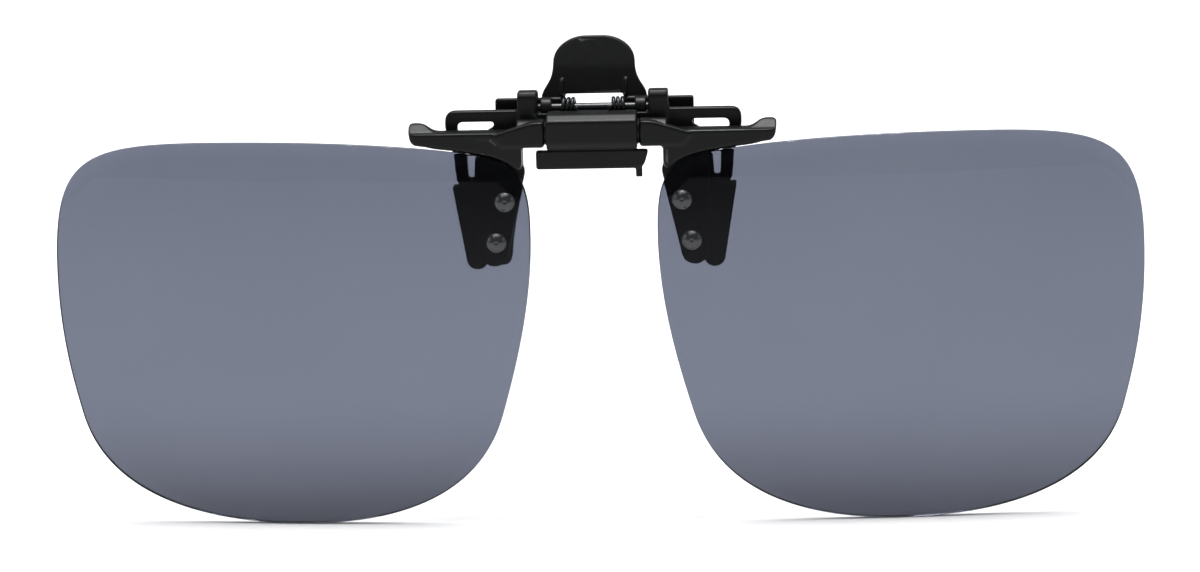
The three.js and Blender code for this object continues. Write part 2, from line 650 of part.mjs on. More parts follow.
// the coil on the right of the middle: its inner leg lies forward over the top of the saddle, its
// outer leg ends close behind the coil, where the wall of the rear jaw never reaches as it turns
function clampSpring() {
  const stepsPerTurn = 12;
  const coilSteps = SPRING_TURNS * stepsPerTurn;
  const coil = Array.from({ length: coilSteps + 1 }, (_, i) => {
    const angle = Math.PI + (i / stepsPerTurn) * 2 * Math.PI;
    return new THREE.Vector3(
      SPRING_INNER_X + (i / stepsPerTurn) * SPRING_PITCH,
      PIN_Y + SPRING_COIL_R * Math.cos(angle),
      PIN_Z + SPRING_COIL_R * Math.sin(angle),
    );
  });
  const saddleLegZ = SADDLE_TOP_Z + SPRING_WIRE_R + CLEARANCE;
  const saddleLegEnd = new THREE.Vector3(SPRING_INNER_X, SADDLE_FRONT_Y + 0.3, saddleLegZ);
  const saddleLegBend = new THREE.Vector3(SPRING_INNER_X, PIN_Y - SPRING_COIL_R - 0.1, saddleLegZ - 0.03);
  const endX = coil.at(-1).x;
  const tabLegBend = new THREE.Vector3(endX, PIN_Y + SPRING_COIL_R + 0.05, PIN_Z + 0.45);
  const tabLegTop = new THREE.Vector3(endX, PIN_Y + SPRING_COIL_R + 0.1, PIN_Z + 0.9);
  const path = new THREE.CatmullRomCurve3([saddleLegEnd, saddleLegBend, ...coil, tabLegBend, tabLegTop]);
  const section = new THREE.Shape().absarc(0, 0, SPRING_WIRE_R, 0, 2 * Math.PI, false);
  return solid(new THREE.ExtrudeGeometry(section, { steps: 60, curveSegments: 3, extrudePath: path }));
}

// ---- assembly --------------------------------------------------------------------------------
const blackPlastic = () => new THREE.MeshStandardMaterial({ color: 0x17191a, roughness: 0.42, metalness: 0 });
const rubber = () => new THREE.MeshStandardMaterial({ color: 0x0e0f10, roughness: 0.8, metalness: 0 });
const rivetFinish = () => new THREE.MeshStandardMaterial({ color: 0x2b2c2e, roughness: 0.3, metalness: 0 });
const steel = () => new THREE.MeshStandardMaterial({ color: 0xb9bbbd, roughness: 0.3, metalness: 1 });
const tint = () => new THREE.MeshStandardMaterial({
  color: 0x5d6272, roughness: 0.06, metalness: 0, transparent: true, opacity: 0.6,
});

const clipOn = new THREE.Group();
const mechanism = new THREE.Group();
mechanism.position.z = FLIP_AXIS_Z;
clipOn.add(mechanism);

function addPiece(name, manifold, material) {
  const mesh = new THREE.Mesh(geometryOf(manifold), material);
  mesh.name = name;
  mechanism.add(mesh);
}

// a piece made for the right side, and its mirror image on the left
function addPair(name, manifold, material) {
  addPiece(`${name}_right`, manifold, material());
  addPiece(`${name}_left`, mirroredX(manifold), material());
}

addPair('sun_lens', sunLens(), tint);
addPair('lens_carrier', lensCarrier(), blackPlastic);
addPair('upper_lens_rivet', lensRivet(RIVET_PLACES[0]), rivetFinish);
addPair('lower_lens_rivet', lensRivet(RIVET_PLACES[1]), rivetFinish);
addPiece('flip_shaft', flipShaft(), steel());
addPiece('clip_body', clipBody(), blackPlastic());
addPiece('hinge_cover', hingeCover(), blackPlastic());
addPiece('detent_leaf', detentLeaf(), steel());
addPair('front_grip_sleeve', gripSleeve(FRONT_SLEEVE, -1), rubber);
addPiece('rear_jaw', rearJaw(), blackPlastic());
addPair('rear_grip_sleeve', gripSleeve(REAR_SLEEVE, 1), rubber);
addPiece('clamp_pin', clampPin(), steel());
addPair('clamp_spring', clampSpring(), steel);

export default clipOn;
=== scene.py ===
# Flip-up clip-on sunglasses: the finished pieces and their materials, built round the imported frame.
# Pieces are shaped in millimetres and brought to metres at the end by finish_piece().
import math

import bmesh
import bpy
from mathutils import Matrix, Vector


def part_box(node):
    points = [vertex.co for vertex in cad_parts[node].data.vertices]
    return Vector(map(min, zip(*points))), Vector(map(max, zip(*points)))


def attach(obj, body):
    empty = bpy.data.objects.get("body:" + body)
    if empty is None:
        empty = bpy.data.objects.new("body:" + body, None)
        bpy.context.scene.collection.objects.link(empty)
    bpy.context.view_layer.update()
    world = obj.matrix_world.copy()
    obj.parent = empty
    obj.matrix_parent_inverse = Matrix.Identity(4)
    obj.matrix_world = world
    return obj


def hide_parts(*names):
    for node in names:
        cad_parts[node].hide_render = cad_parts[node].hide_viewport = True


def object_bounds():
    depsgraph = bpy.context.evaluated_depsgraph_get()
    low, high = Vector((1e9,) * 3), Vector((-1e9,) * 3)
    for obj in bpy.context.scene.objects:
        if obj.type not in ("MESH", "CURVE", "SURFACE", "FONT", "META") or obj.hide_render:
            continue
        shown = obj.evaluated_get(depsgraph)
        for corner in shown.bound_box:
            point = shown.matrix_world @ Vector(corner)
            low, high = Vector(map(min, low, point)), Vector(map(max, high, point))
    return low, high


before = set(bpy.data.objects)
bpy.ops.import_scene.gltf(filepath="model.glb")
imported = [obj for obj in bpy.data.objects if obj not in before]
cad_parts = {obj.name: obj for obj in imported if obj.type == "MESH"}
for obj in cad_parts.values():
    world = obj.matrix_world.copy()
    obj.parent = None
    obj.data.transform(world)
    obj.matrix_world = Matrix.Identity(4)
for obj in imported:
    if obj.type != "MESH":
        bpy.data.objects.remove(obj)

cad_low, cad_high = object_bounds()

MM = 0.001
SIDES = (("right", 1), ("left", -1))

# ---- sizes of the pieces, in millimetres -----------------------------------------------------
FLIP_AXIS_Y = -4.5
FLIP_AXIS_Z = 12.0
PIN_Y = 0.2
PIN_Z = FLIP_AXIS_Z + 2.3

LENS_WIDTH = 60.6
LENS_HEIGHT = 49.2
LENS_THICKNESS = 1.0
LENS_BASE_RADIUS = 240.0
LENS_GAP = 15.9
LENS_TOP_Z = FLIP_AXIS_Z - 0.6
LENS_NOSE_Y = -6.43
LENS_WRAP = math.radians(3.5)
LENS_EDGE_ROUND = 0.22
# Heights between which the lens tint darkens, a painted shade along its lower part.
LENS_SHADE_TOP = -20.0
LENS_SHADE_BOTTOM = -41.0
LENS_X = (LENS_WIDTH + LENS_GAP) / 2
LENS_Z = LENS_TOP_Z - LENS_HEIGHT / 2

RIVET_PLACES = {"upper": (11.0, FLIP_AXIS_Z - 8.4), "lower": (12.15, FLIP_AXIS_Z - 13.45)}
RIVET_SHANK_R = 0.6
RIVET_HEAD_R = 1.25
RIVET_HEAD_HEIGHT = 0.66
RIVET_BACK_DEPTH = 2.8
RIVET_BACK_R = 1.0

SLEEVE_TOP_Z = FLIP_AXIS_Z - 7.0
SLEEVE_BOTTOM_Z = FLIP_AXIS_Z - 17.6
SLEEVE_NEAR_Y = 0.15
SLEEVE_THICKNESS = 2.4
SLEEVE_WALL = 0.62
FRONT_SLEEVE = (13.1, 17.8, 13.5, 16.3)
REAR_SLEEVE = (9.9, 12.9, 10.8, 12.8)

BARREL_HALF_LENGTH = 5.6
BOSS_END_X = 5.9
BOSS_R = 1.55
BOSS_BORE_R = 0.95

SPRING_WIRE_R = 0.25
SPRING_COIL_R = 1.15
SPRING_TURNS = 3.5
SPRING_PITCH = 0.56
SPRING_INNER_X = 2.1

FLOOR_REACH = 2.5  # metres

MOULD_VOXEL = 0.11
MOULD_ROUNDS = 7
MOULD_KEEP = 0.4


# ---- making meshes -----------------------------------------------------------------------------
def new_piece(name, bm):
    """A linked object that holds the mesh built in bm, in millimetres."""
    mesh = bpy.data.meshes.new(name)
    bm.to_mesh(mesh)
    bm.free()
    piece = bpy.data.objects.new(name, mesh)
    bpy.context.scene.collection.objects.link(piece)
    return piece


def settle(piece):
    """Applies every modifier on the piece."""
    bpy.context.view_layer.update()
    graph = bpy.context.evaluated_depsgraph_get()
    mesh = bpy.data.meshes.new_from_object(piece.evaluated_get(graph))
    piece.modifiers.clear()
    piece.data = mesh


def cut_away(piece, tool):
    cut = piece.modifiers.new("cut", "BOOLEAN")
    cut.operation = "DIFFERENCE"
    cut.solver = "EXACT"
    cut.object = tool
    settle(piece)
    bpy.data.objects.remove(tool)


def smooth_shade(piece, crease_angle=None):
    mesh = piece.data
    mesh.polygons.foreach_set("use_smooth", [True] * len(mesh.polygons))
    if crease_angle is not None:
        mesh.set_sharp_from_angle(angle=math.radians(crease_angle))


def finish_piece(piece, body, slot, material, *nodes):
    """Brings a piece to metres, gives it its material and puts it in place of its CAD nodes."""
    piece.data.transform(Matrix.Scale(MM, 4))
    piece.data.materials.clear()
    piece.data.materials.append(material)
    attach(piece, body)
    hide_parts(*nodes)
    return piece


def mirrored_piece(piece, name):
    """A mirror image across the middle plane, for the left side."""
    bm = bmesh.new()
    bm.from_mesh(piece.data)
    bmesh.ops.scale(bm, vec=(-1, 1, 1), verts=bm.verts)
    bmesh.ops.reverse_faces(bm, faces=bm.faces)
    return new_piece(name, bm)


def cast_from(node):
    """A bmesh of one CAD node's shape, in millimetres and with its seams welded."""
    bm = bmesh.new()
    bm.from_mesh(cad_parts[node].data)
    bmesh.ops.scale(bm, vec=(1 / MM,) * 3, verts=bm.verts)
    bmesh.ops.remove_doubles(bm, verts=bm.verts, dist=0.001)
    return bm


def mould(piece, voxel=MOULD_VOXEL, rounds=MOULD_ROUNDS, keep=MOULD_KEEP):
    """Gives a sharp-edged solid the blended inside corners and rounded edges of a moulding."""
    skin = piece.modifiers.new("skin", "REMESH")
    skin.mode = "VOXEL"
    skin.voxel_size = voxel
    soften = piece.modifiers.new("soften", "SMOOTH")
    soften.factor = 0.5
    soften.iterations = rounds
    thin = piece.modifiers.new("thin", "DECIMATE")
    thin.ratio = keep
    settle(piece)
    smooth_shade(piece)


def add_prism(bm, outline, place, low, high):
    """Adds a prism: place(a, b, h) turns an outline point and a height into a point in space."""
    rings = [[bm.verts.new(place(a, b, h)) for a, b in outline] for h in (low, high)]
    count = len(outline)
    faces = [bm.faces.new(list(reversed(rings[0]))), bm.faces.new(rings[1])]
    for i in range(count):
        j = (i + 1) % count
        faces.append(bm.faces.new((rings[0][i], rings[0][j], rings[1][j], rings[1][i])))
    bmesh.ops.recalc_face_normals(bm, faces=faces)


def seen_from_front(a, b, h):
    return Vector((a, h, b))


def add_turned(bm, profile, turn, segments=48):
    """Adds a turned solid whose profile [(radius, along)] starts and ends on its axis."""
    rings = []
    for radius, along in profile:
        if radius == 0:
            rings.append([bm.verts.new(turn @ Vector((0, 0, along)))])
            continue
        angles = (2 * math.pi * i / segments for i in range(segments))
        rings.append([
            bm.verts.new(turn @ Vector((radius * math.cos(t), radius * math.sin(t), along)))
            for t in angles
        ])
    faces = []
    for first, second in zip(rings, rings[1:]):
        for i in range(segments):
            j = (i + 1) % segments
            corners = [first[i % len(first)], first[j % len(first)]]
            corners += [second[j % len(second)], second[i % len(second)]]
            faces.append(bm.faces.new(list(dict.fromkeys(corners))))
    bmesh.ops.recalc_face_normals(bm, faces=faces)


# ---- shader groups ------------------------------------------------------------------------------
def new_group(name, inputs, outputs):
    group = bpy.data.node_groups.new(name, "ShaderNodeTree")
    for label, default in inputs:
        socket = group.interface.new_socket(label, in_out="INPUT", socket_type="NodeSocketFloat")
        socket.default_value = default
    for label, kind in outputs:
        group.interface.new_socket(label, in_out="OUTPUT", socket_type=kind)
    return group, group.nodes.new("NodeGroupInput"), group.nodes.new("NodeGroupOutput")


def add_node(tree, kind, values=None, **settings):
    node = tree.nodes.new(kind)
    for key, value in settings.items():
        setattr(node, key, value)
    for key, value in (values or {}).items():
        node.inputs[key].default_value = value
    return node


def millimetres(tree):
    """The place on the part in millimetres, so that every scale below is per millimetre."""
    place = add_node(tree, "ShaderNodeTexCoord")
    scale = add_node(tree, "ShaderNodeVectorMath", {1: (1 / MM,) * 3}, operation="MULTIPLY")
    tree.links.new(place.outputs["Object"], scale.inputs[0])
    return scale.outputs[0]


def spread(tree, value, low, high):
    """Stretches a value between 0 and 1 to run from low to high."""
    node = add_node(tree, "ShaderNodeMapRange", {"To Min": low, "To Max": high})
    tree.links.new(value, node.inputs["Value"])
    return node


def moulded_skin_group():
    """Fine spark-eroded grain with slow waviness under it, as on a moulded plastic part."""
    group, given, result = new_group(
        "moulded_skin",
        [("Grain per mm", 7.0), ("Grain depth", 1.0), ("Waviness", 0.25)],
        [("Height", "NodeSocketFloat"), ("Mottle", "NodeSocketFloat")],
    )
    place = millimetres(group)
    link = group.links.new
    grain = add_node(group, "ShaderNodeTexNoise", {"Detail": 3.0, "Roughness": 0.6})
    link(place, grain.inputs["Vector"])
    link(given.outputs["Grain per mm"], grain.inputs["Scale"])
    waves = add_node(group, "ShaderNodeTexNoise", {"Scale": 0.55, "Detail": 2.0})
    link(place, waves.inputs["Vector"])
    deep = add_node(group, "ShaderNodeMath", operation="MULTIPLY")
    link(grain.outputs["Fac"], deep.inputs[0])
    link(given.outputs["Grain depth"], deep.inputs[1])
    height = add_node(group, "ShaderNodeMath", operation="MULTIPLY_ADD")
    link(waves.outputs["Fac"], height.inputs[0])
    link(given.outputs["Waviness"], height.inputs[1])
    link(deep.outputs[0], height.inputs[2])
    link(height.outputs[0], result.inputs["Height"])
    mottle = add_node(group, "ShaderNodeTexNoise", {"Scale": 1.6, "Detail": 5.0, "Roughness": 0.65})
    link(place, mottle.inputs["Vector"])
    link(mottle.outputs["Fac"], result.inputs["Mottle"])
    return group


def edge_wear_and_sheen_group():
    """A mask that is 1 on the outside edges, broken up by noise, which lightens them partly as handling
    wear and partly as a painted highlight.
    """
    group, given, result = new_group(
        "edge_wear_and_sheen",
        [("Edge start", 0.535), ("Edge end", 0.62)],
        [("Mask", "NodeSocketFloat")],
    )
    link = group.links.new
    shape = add_node(group, "ShaderNodeNewGeometry")
    # Pointiness picks out the convex edges that get the painted highlight and the wear.
    edge = add_node(group, "ShaderNodeMapRange")
    link(shape.outputs["Pointiness"], edge.inputs["Value"])
    link(given.outputs["Edge start"], edge.inputs["From Min"])
    link(given.outputs["Edge end"], edge.inputs["From Max"])
    breakup = add_node(group, "ShaderNodeTexNoise", {"Scale": 1.1, "Detail": 4.0})
    link(millimetres(group), breakup.inputs["Vector"])
    patchy = spread(group, breakup.outputs["Fac"], 0.2, 1.3)
    mask = add_node(group, "ShaderNodeMath", operation="MULTIPLY", use_clamp=True)
    link(edge.outputs[0], mask.inputs[0])
    link(patchy.outputs[0], mask.inputs[1])
    link(mask.outputs[0], result.inputs["Mask"])
    return group


def hairlines_group():
    """Fine scratches that run round a turned or drawn steel part, for its roughness and bump."""
    group, given, result = new_group(
        "hairlines",
        [("Lines per mm", 9.0)],
        [("Lines", "NodeSocketFloat")],
    )
    link = group.links.new
    stretch = add_node(group, "ShaderNodeVectorMath", {1: (1.0, 0.06, 0.06)}, operation="MULTIPLY")
    link(millimetres(group), stretch.inputs[0])
    lines = add_node(group, "ShaderNodeTexNoise", {"Detail": 4.0, "Roughness": 0.7})
    link(stretch.outputs[0], lines.inputs["Vector"])
    link(given.outputs["Lines per mm"], lines.inputs["Scale"])
    link(lines.outputs["Fac"], result.inputs["Lines"])
    return group


MOULDED_SKIN = moulded_skin_group()
EDGE_WEAR_AND_SHEEN = edge_wear_and_sheen_group()
HAIRLINES = hairlines_group()


# ---- materials -----------------------------------------------------------------------------------
def new_material(name):
    material = bpy.data.materials.new(name)
    material.use_nodes = True
    tree = material.node_tree
    return material, tree, tree.nodes["Principled BSDF"]


def place_group(tree, group, values=None):
    node = tree.nodes.new("ShaderNodeGroup")
    node.node_tree = group
    for key, value in (values or {}).items():
        node.inputs[key].default_value = value
    return node


def bump_from(tree, height, surface, strength, depth_mm):
    bump = add_node(tree, "ShaderNodeBump", {"Strength": strength, "Distance": depth_mm * MM})
    tree.links.new(height, bump.inputs["Height"])
    tree.links.new(bump.outputs["Normal"], surface.inputs["Normal"])


def two_colours(tree, share, dark, light, surface):
    mix = add_node(tree, "ShaderNodeMix", data_type="RGBA")
    mix.inputs["A"].default_value = (*dark, 1)
    mix.inputs["B"].default_value = (*light, 1)
    tree.links.new(share, mix.inputs["Factor"])
    tree.links.new(mix.outputs["Result"], surface.inputs["Base Color"])
    return mix


def moulded_black():
    """Satin black moulded plastic, with fine grain and lighter edges, partly handling wear and partly a
    painted highlight.
    """
    material, tree, surface = new_material("moulded_black")
    surface.inputs["Specular IOR Level"].default_value = 0.14
    skin = place_group(tree, MOULDED_SKIN, {"Grain per mm": 6.5, "Grain depth": 1.0, "Waviness": 0.6})
    edges = place_group(tree, EDGE_WEAR_AND_SHEEN)
    colour = two_colours(
        tree, skin.outputs["Mottle"], (0.0022, 0.0024, 0.0026), (0.0044, 0.0046, 0.0048), surface,
    )
    # Painted highlight: the outside edges get a lighter colour, which also stands for handling wear.
    edge_wear_and_highlight = add_node(tree, "ShaderNodeMix", data_type="RGBA")
    edge_wear_and_highlight.inputs["B"].default_value = (0.06, 0.0625, 0.069, 1)
    tree.links.new(colour.outputs["Result"], edge_wear_and_highlight.inputs["A"])
    tree.links.new(edges.outputs["Mask"], edge_wear_and_highlight.inputs["Factor"])
    tree.links.new(edge_wear_and_highlight.outputs["Result"], surface.inputs["Base Color"])
    satin = spread(tree, skin.outputs["Mottle"], 0.30, 0.44)
    polished = add_node(tree, "ShaderNodeMix", {"B": 0.24})
    tree.links.new(satin.outputs[0], polished.inputs["A"])
    tree.links.new(edges.outputs["Mask"], polished.inputs["Factor"])
    tree.links.new(polished.outputs["Result"], surface.inputs["Roughness"])
    bump_from(tree, skin.outputs["Height"], surface, 0.1, 0.008)
    return material


def dipped_rubber():
    """Soft black rubber, matte, with a slightly uneven grain."""
    material, tree, surface = new_material("dipped_rubber")
    surface.inputs["Specular IOR Level"].default_value = 0.1
    surface.inputs["Sheen Weight"].default_value = 0.04
    surface.inputs["Sheen Roughness"].default_value = 0.6
    skin = place_group(tree, MOULDED_SKIN, {"Grain per mm": 4.0, "Grain depth": 1.0, "Waviness": 1.4})
    two_colours(tree, skin.outputs["Mottle"], (0.002, 0.0021, 0.0023), (0.004, 0.0042, 0.0045), surface)
    matte = spread(tree, skin.outputs["Mottle"], 0.55, 0.8)
    tree.links.new(matte.outputs[0], surface.inputs["Roughness"])
    bump_from(tree, skin.outputs["Height"], surface, 0.16, 0.012)
    return material


def rivet_head_black():
    """Semi-gloss dark grey, as a plated rivet head, a little lighter on its crown, partly rubbing and
    partly a painted highlight.
    """
    material, tree, surface = new_material("rivet_head_black")
    surface.inputs["Specular IOR Level"].default_value = 0.45
    skin = place_group(tree, MOULDED_SKIN, {"Grain per mm": 9.0, "Grain depth": 0.8, "Waviness": 1.2})
    edges = place_group(tree, EDGE_WEAR_AND_SHEEN, {"Edge start": 0.5, "Edge end": 0.56})
    colour = two_colours(
        tree, skin.outputs["Mottle"], (0.009, 0.0095, 0.0105), (0.017, 0.0175, 0.019), surface,
    )
    # Painted highlight: the edges of the head get a lighter colour, which also stands for rubbing.
    rubbed_and_highlight = add_node(tree, "ShaderNodeMix", data_type="RGBA")
    rubbed_and_highlight.inputs["B"].default_value = (0.03, 0.031, 0.033, 1)
    tree.links.new(colour.outputs["Result"], rubbed_and_highlight.inputs["A"])
    tree.links.new(edges.outputs["Mask"], rubbed_and_highlight.inputs["Factor"])
    tree.links.new(rubbed_and_highlight.outputs["Result"], surface.inputs["Base Color"])
    gloss = spread(tree, skin.outputs["Mottle"], 0.14, 0.24)
    tree.links.new(gloss.outputs[0], surface.inputs["Roughness"])
    bump_from(tree, skin.outputs["Height"], surface, 0.25, 0.012)
    return material


def drawn_steel():
    """Blackened spring steel with drawing lines along it and a slight dullness between them."""
    material, tree, surface = new_material("drawn_steel")
    surface.inputs["Metallic"].default_value = 1.0
    lines = place_group(tree, HAIRLINES)
    two_colours(tree, lines.outputs["Lines"], (0.018, 0.0185, 0.0195), (0.05, 0.051, 0.053), surface)
    gloss = spread(tree, lines.outputs["Lines"], 0.2, 0.42)
    tree.links.new(gloss.outputs[0], surface.inputs["Roughness"])
    bump_from(tree, lines.outputs["Lines"], surface, 0.2, 0.01)
    return material


def tinted_lens():
    """Grey tinted plastic, coated against glare: clear, with a painted shade that darkens it low down,
    and faint wiping marks.
    """
    material, tree, surface = new_material("tinted_lens")
    surface.inputs["Transmission Weight"].default_value = 1.0
    surface.inputs["IOR"].default_value = 1.5
    surface.inputs["Specular Tint"].default_value = (0.18, 0.18, 0.2, 1)
    link = tree.links.new
    place = millimetres(tree)
    slant = add_node(tree, "ShaderNodeMapping", {"Rotation": (0, 0.5, 0), "Scale": (0.03, 0.2, 0.22)})
    link(place, slant.inputs["Vector"])
    wipes = add_node(tree, "ShaderNodeTexNoise", {"Scale": 1.0, "Detail": 4.0, "Distortion": 0.6})
    link(slant.outputs[0], wipes.inputs["Vector"])
    haze = add_node(tree, "ShaderNodeMapRange", {"From Min": 0.45, "From Max": 0.8, "To Max": 0.05})
    link(wipes.outputs["Fac"], haze.inputs["Value"])
    link(haze.outputs[0], surface.inputs["Roughness"])
    cloud = add_node(tree, "ShaderNodeTexNoise", {"Scale": 0.04, "Detail": 2.0})
    link(place, cloud.inputs["Vector"])
    tint = two_colours(tree, cloud.outputs["Fac"], (0.101, 0.111, 0.146), (0.112, 0.122, 0.157), surface)
    # Painted shade: the tint blends to a darker colour towards the bottom of the lens.
    axes = add_node(tree, "ShaderNodeSeparateXYZ")
    link(place, axes.inputs[0])
    painted_shade_ramp = add_node(
        tree, "ShaderNodeMapRange",
        {"From Min": LENS_SHADE_TOP, "From Max": LENS_SHADE_BOTTOM}, interpolation_type="SMOOTHSTEP",
    )
    link(axes.outputs["Z"], painted_shade_ramp.inputs["Value"])
    painted_shade = add_node(tree, "ShaderNodeMix", data_type="RGBA")
    painted_shade.inputs["B"].default_value = (0.053, 0.056, 0.071, 1)
    link(painted_shade_ramp.outputs[0], painted_shade.inputs["Factor"])
    link(tint.outputs["Result"], painted_shade.inputs["A"])
    link(painted_shade.outputs["Result"], surface.inputs["Base Color"])
    return material


MOULDED_BLACK = moulded_black()
DIPPED_RUBBER = dipped_rubber()
RIVET_HEAD = rivet_head_black()
DRAWN_STEEL = drawn_steel()
TINTED_LENS = tinted_lens()


# ---- sun lenses -----------------------------------------------------------------------------------
def bezier(points, steps):
    """Points along one cubic curve, without its last one."""
    p0, p1, p2, p3 = (Vector(p) for p in points)
    made = []
    for i in range(steps):
        t = i / steps
        s = 1 - t
        made.append(p0 * s ** 3 + p1 * 3 * s * s * t + p2 * 3 * s * t * t + p3 * t ** 3)
    return made


def lens_outline(steps=30):
    """The lens outline about its centre, for the right side with the nose towards -X."""
    curves = (
        ((6, 24), (26, 24), (30, 23), (30, 7.5)),
        ((30, 7.5), (30, 0.5), (29, -5), (27.5, -10.8)),
        ((27.5, -10.8), (24.9, -19.9), (14.5, -24), (0, -24)),
        ((0, -24), (-13, -24), (-22.9, -20.2), (-26, -10)),
        ((-26, -10), (-27.6, -4.7), (-30, 3.5), (-30, 12)),
        ((-30, 12), (-30, 17.2), (-29.6, 20.7), (-24.8, 21.8)),
        ((-24.8, 21.8), (-19, 23.1), (-8, 24), (6, 24)),
    )
    scale_x, scale_z = LENS_WIDTH / 60, LENS_HEIGHT / 48
    return [Vector((p.x * scale_x, p.y * scale_z)) for c in curves for p in bezier(c, steps)]


def lens_fall(distance):
    """How far the lens front falls back from its crown at a distance from its centre."""
    return LENS_BASE_RADIUS - math.sqrt(LENS_BASE_RADIUS ** 2 - distance ** 2)


LENS_CROWN_Y = (
    LENS_NOSE_Y
    + LENS_WIDTH / 2 * math.sin(LENS_WRAP)
    - lens_fall(LENS_WIDTH / 2) * math.cos(LENS_WRAP)
)
TO_LENS = Matrix.Translation((LENS_X, LENS_CROWN_Y, LENS_Z)) @ Matrix.Rotation(LENS_WRAP, 4, "Z")


def on_lens_sphere(u, v, depth):
    """A point a given depth behind the lens front, straight towards the centre of its curve."""
    share = (LENS_BASE_RADIUS - depth) / LENS_BASE_RADIUS
    from_centre = (LENS_BASE_RADIUS - lens_fall(math.hypot(u, v))) * share
    return TO_LENS @ Vector((u * share, LENS_BASE_RADIUS - from_centre, v * share))


def to_rivet(x, z):
    """The frame of a rivet: its own Z points backwards through the lens, from the lens front."""
    v = z - LENS_Z
    u = x - LENS_X
    for _ in range(4):
        depth = lens_fall(math.hypot(u, v))
        u = (x - LENS_X + depth * math.sin(LENS_WRAP)) / math.cos(LENS_WRAP)
    inward = Vector((-u, LENS_BASE_RADIUS - depth, -v)).normalized()
    turn = Vector((0, 0, 1)).rotation_difference(inward).to_matrix().to_4x4()
    return TO_LENS @ Matrix.Translation((u, depth, v)) @ turn


def inset_outline(outline, inset):
    """The outline, which runs clockwise, moved inwards by a distance."""
    count = len(outline)
    moved = []
    for i, point in enumerate(outline):
        along = outline[(i + 1) % count] - outline[i - 1]
        inward = Vector((along.y, -along.x)).normalized()
        moved.append(point + inward * inset)
    return moved


def make_lens():
    """A curved lens blank with a rounded, polished edge and two rivet holes."""
    outline = lens_outline()
    half = LENS_THICKNESS / 2
    section = []
    for share in (0.0, 0.2, 0.4, 0.6, 0.8, 0.93):
        section.append((share, None, 0.0))
    edge_steps = 4
    for i in range(edge_steps + 1):
        angle = math.pi / 2 * i / edge_steps
        inset = LENS_EDGE_ROUND * (1 - math.sin(angle))
        section.append((None, inset, LENS_EDGE_ROUND * (1 - math.cos(angle))))
    back = [(share, inset, LENS_THICKNESS - depth) for share, inset, depth in reversed(section)]
    section += back
    bm = bmesh.new()
    rings = []
    for share, inset, depth in section:
        if share == 0.0:
            rings.append([bm.verts.new(on_lens_sphere(0, 0, depth))])
            continue
        if inset is None:
            ring = [p * share for p in outline]
        else:
            ring = inset_outline(outline, inset)
        rings.append([bm.verts.new(on_lens_sphere(p.x, p.y, depth)) for p in ring])
    count = len(outline)
    for first, second in zip(rings, rings[1:]):
        for i in range(count):
            j = (i + 1) % count
            corners = [first[i % len(first)], first[j % len(first)]]
            corners += [second[j % len(second)], second[i % len(second)]]
            bm.faces.new(list(dict.fromkeys(corners)))
    bmesh.ops.recalc_face_normals(bm, faces=bm.faces)
    lens = new_piece("lens_right", bm)
    for x, z in RIVET_PLACES.values():
        drill = bmesh.new()
        hole_r = RIVET_SHANK_R + 0.08
        add_turned(drill, [(0, -2), (hole_r, -2), (hole_r, 3), (0, 3)], to_rivet(x, z))
        cut_away(lens, new_piece("drill", drill))
    smooth_shade(lens, 35)
    return lens


def make_rivet(x, z):
    """A domed head with a centre dimple and a turned-in rim, its shank and its closing head."""
    dome_r = (RIVET_HEAD_R ** 2 + RIVET_HEAD_HEIGHT ** 2) / (2 * RIVET_HEAD_HEIGHT)
    dimple_r = 0.22
    dome = [(0, -RIVET_HEAD_HEIGHT + 0.09), (dimple_r * 0.6, -RIVET_HEAD_HEIGHT + 0.06)]
    for i in range(10):
        radius = dimple_r + (RIVET_HEAD_R - 0.08 - dimple_r) * i / 9
        fall = dome_r - math.sqrt(dome_r ** 2 - radius ** 2)
        dome.append((radius, -RIVET_HEAD_HEIGHT + fall))
    rim = [(RIVET_HEAD_R - 0.01, -0.1), (RIVET_HEAD_R, -0.05), (RIVET_HEAD_R - 0.04, 0)]
    back = RIVET_BACK_DEPTH
    tail = [
        (RIVET_SHANK_R, 0), (RIVET_SHANK_R, back - 0.02), (RIVET_BACK_R - 0.05, back - 0.02),
        (RIVET_BACK_R, back + 0.05), (RIVET_BACK_R - 0.06, back + 0.22),
        (RIVET_BACK_R - 0.3, back + 0.33),
        (0.3, back + 0.36), (0.12, back + 0.3), (0, back + 0.29),
    ]
    bm = bmesh.new()
    add_turned(bm, dome + rim + tail, to_rivet(x, z), 56)
    rivet = new_piece("rivet", bm)
    smooth_shade(rivet, 50)
    return rivet


right_lens = make_lens()
left_lens = mirrored_piece(right_lens, "lens_left")
smooth_shade(left_lens, 35)
finish_piece(right_lens, "flip_frame", "tinted_lens", TINTED_LENS, "sun_lens_right")
finish_piece(left_lens, "flip_frame", "tinted_lens", TINTED_LENS, "sun_lens_left")

for level, (x, z) in RIVET_PLACES.items():
    right_rivet = make_rivet(x, z)
    right_rivet.name = f"{level}_rivet_right"
    left_rivet = mirrored_piece(right_rivet, f"{level}_rivet_left")
    smooth_shade(left_rivet, 50)
    finish_piece(right_rivet, "flip_frame", "rivet_finish", RIVET_HEAD, f"{level}_lens_rivet_right")
    finish_piece(left_rivet, "flip_frame", "rivet_finish", RIVET_HEAD, f"{level}_lens_rivet_left")


# ---- moulded black pieces ------------------------------------------------------------------------
carrier = new_piece("carrier_right", cast_from("lens_carrier_right"))
mould(carrier)
left_carrier = mirrored_piece(carrier, "carrier_left")
smooth_shade(left_carrier)
finish_piece(carrier, "flip_frame", "black_plastic", MOULDED_BLACK, "lens_carrier_right")
finish_piece(left_carrier, "flip_frame", "black_plastic", MOULDED_BLACK, "lens_carrier_left")

